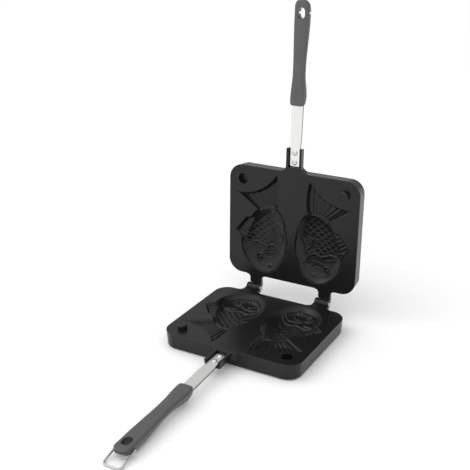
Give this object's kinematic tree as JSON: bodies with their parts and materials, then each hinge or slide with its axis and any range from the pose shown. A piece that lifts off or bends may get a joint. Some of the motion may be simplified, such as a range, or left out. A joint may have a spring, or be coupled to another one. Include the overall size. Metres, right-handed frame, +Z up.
{
  "type": "taiyaki maker",
  "caption": "Hinged stovetop double pan with fish-shaped cavities in both halves, long riveted handles with moulded grips, and a wire ring that locks the grips together.",
  "frame": {"origin": "middle of the lower half's flat underside, on the surface it stands on", "axes": "+X to the right, +Y from the handle to the hinge, +Z up; the lid is drawn open on its stop"},
  "size_m": [0.155, 0.355, 0.3384],
  "materials": {
    "coated_casting": "cast aluminium under a matte black non-stick coat",
    "grip_moulding": "satin black phenolic moulding",
    "handle_steel": "satin rolled strip",
    "rivet_metal": "bright headed rivet",
    "pin_steel": "bright turned pin",
    "ring_wire": "bright drawn wire"
  },
  "bodies": {
    "base": {"lower_pan": "coated_casting", "lower_strap": "handle_steel", "lower_rivet_inner": "rivet_metal", "lower_rivet_outer": "rivet_metal", "lower_grip_body": "grip_moulding", "lower_grip_cover": "grip_moulding", "hinge_pin_left": "pin_steel", "hinge_pin_right": "pin_steel"},
    "lid": {"upper_pan": "coated_casting", "upper_strap": "handle_steel", "upper_rivet_inner": "rivet_metal", "upper_rivet_outer": "rivet_metal", "upper_grip_body": "grip_moulding", "upper_grip_cover": "grip_moulding"},
    "ring": {"locking_ring": "ring_wire"}
  },
  "joints": [
    {"name": "lid_hinge", "type": "hinge", "parent": "base", "child": "lid", "pos_m": [0, 0.07905, 0.0166], "axis": [1, 0, 0], "range_deg": [0, 91]},
    {"name": "ring_hinge", "type": "hinge", "parent": "base", "child": "ring", "pos_m": [0, -0.22953, 0.00679], "axis": [-1, 0, 0], "range_deg": [-151.9, 104.05]}
  ]
}
